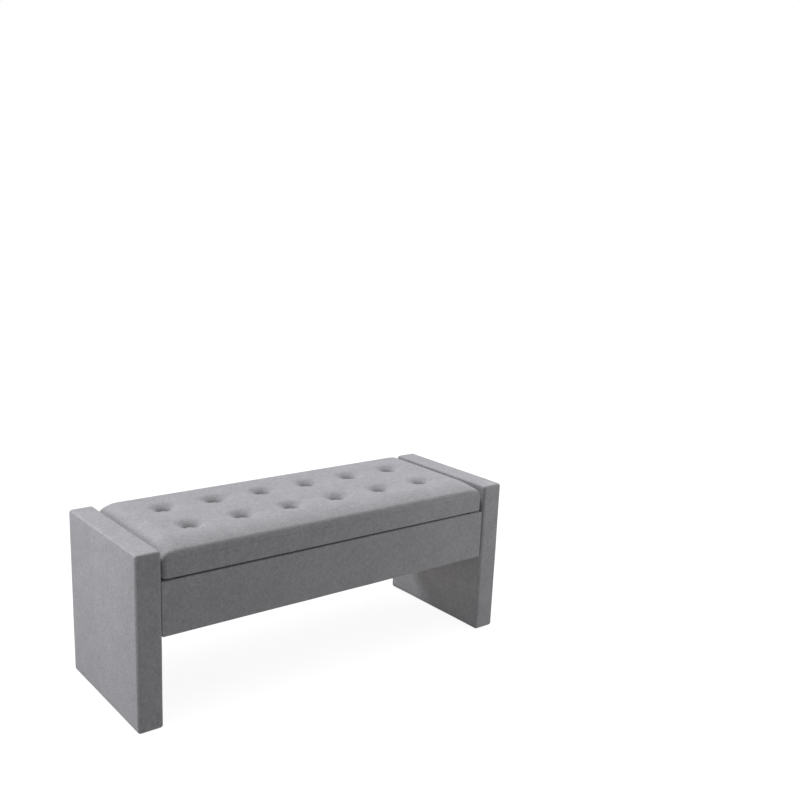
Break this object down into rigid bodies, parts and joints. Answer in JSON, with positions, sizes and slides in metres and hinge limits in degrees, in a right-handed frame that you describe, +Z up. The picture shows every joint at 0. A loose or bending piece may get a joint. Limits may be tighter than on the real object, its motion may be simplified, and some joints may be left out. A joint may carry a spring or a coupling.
{
  "type": "storage bench",
  "caption": "Upholstered storage bench with slab ends, a button-tufted lid on rear hinges and a lined box held open by folding stays.",
  "frame": {"origin": "on the floor, under the middle of the bench", "axes": "+X along the bench to its right end, +Y towards the back where the hinges are, +Z up"},
  "size_m": [1.17, 0.414, 0.467],
  "materials": {
    "cover_cloth": "matte",
    "pine": "matte",
    "honeycomb_board": "matte",
    "hardboard": "matte",
    "fibreboard": "matte",
    "lining_cloth": "matte",
    "foam": "matte",
    "bolt_steel": "satin",
    "hinge_steel": "satin",
    "stay_steel": "satin",
    "glide_plastic": "matte",
    "bumper_rubber": "matte"
  },
  "bodies": {
    "base": {"left_end_cover": "cover_cloth", "left_end_frame": "pine", "left_end_core": "honeycomb_board", "left_end_inner_skin": "hardboard", "left_end_outer_skin": "hardboard", "left_front_glide": "glide_plastic", "left_back_glide": "glide_plastic", "right_end_cover": "cover_cloth", "right_end_frame": "pine", "right_end_core": "honeycomb_board", "right_end_inner_skin": "hardboard", "right_end_outer_skin": "hardboard", "right_front_glide": "glide_plastic", "right_back_glide": "glide_plastic", "box_front_cover": "cover_cloth", "box_back_cover": "cover_cloth", "box_front_panel": "fibreboard", "box_back_panel": "fibreboard", "box_left_wall": "fibreboard", "box_right_wall": "fibreboard", "box_floor": "fibreboard", "box_floor_batten": "pine", "box_lining": "lining_cloth", "box_dust_cover": "lining_cloth", "left_front_bolt": "bolt_steel", "left_back_bolt": "bolt_steel", "left_lid_bumper": "bumper_rubber", "left_hinge_lower_leaf": "hinge_steel", "left_hinge_pin": "hinge_steel", "left_stay_wall_plate": "stay_steel", "right_front_bolt": "bolt_steel", "right_back_bolt": "bolt_steel", "right_lid_bumper": "bumper_rubber", "right_hinge_lower_leaf": "hinge_steel", "right_hinge_pin": "hinge_steel", "right_stay_wall_plate": "stay_steel"},
    "lid": {"lid_cover": "cover_cloth", "lid_foam": "foam", "lid_board": "fibreboard", "lid_lining": "lining_cloth", "front_button_1": "cover_cloth", "front_button_2": "cover_cloth", "front_button_3": "cover_cloth", "front_button_4": "cover_cloth", "front_button_5": "cover_cloth", "front_button_6": "cover_cloth", "back_button_1": "cover_cloth", "back_button_2": "cover_cloth", "back_button_3": "cover_cloth", "back_button_4": "cover_cloth", "back_button_5": "cover_cloth", "back_button_6": "cover_cloth", "left_hinge_upper_leaf": "hinge_steel", "left_stay_lid_bracket": "stay_steel", "right_hinge_upper_leaf": "hinge_steel", "right_stay_lid_bracket": "stay_steel"},
    "left_lower_arm": {"left_stay_lower_arm": "stay_steel"},
    "left_upper_arm": {"left_stay_upper_arm": "stay_steel"},
    "right_lower_arm": {"right_stay_lower_arm": "stay_steel"},
    "right_upper_arm": {"right_stay_upper_arm": "stay_steel"}
  },
  "joints": [
    {"name": "lid_hinge", "type": "hinge", "parent": "base", "child": "lid", "pos_m": [0, 0.2033, 0.38315], "axis": [-1, 0, 0], "range_deg": [0, 95]},
    {"name": "left_lower_arm_pivot", "type": "hinge", "parent": "base", "child": "left_lower_arm", "pos_m": [-0.4993, 0.1633, 0.29515], "axis": [-1, 0, 0], "range_deg": [0, 95]},
    {"name": "left_upper_arm_pivot", "type": "hinge", "parent": "lid", "child": "left_upper_arm", "pos_m": [-0.4965, 0.0433, 0.36915], "axis": [-1, 0, 0], "range_deg": [-95, 0]},
    {"name": "right_lower_arm_pivot", "type": "hinge", "parent": "base", "child": "right_lower_arm", "pos_m": [0.4993, 0.1633, 0.29515], "axis": [-1, 0, 0], "range_deg": [0, 95]},
    {"name": "right_upper_arm_pivot", "type": "hinge", "parent": "lid", "child": "right_upper_arm", "pos_m": [0.4965, 0.0433, 0.36915], "axis": [-1, 0, 0], "range_deg": [-95, 0]}
  ],
  "couplings": [
    {"joint": "left_lower_arm_pivot", "follows": "lid_hinge", "ratio": 1},
    {"joint": "left_upper_arm_pivot", "follows": "lid_hinge", "ratio": -1},
    {"joint": "right_lower_arm_pivot", "follows": "lid_hinge", "ratio": 1},
    {"joint": "right_upper_arm_pivot", "follows": "lid_hinge", "ratio": -1}
  ]
}
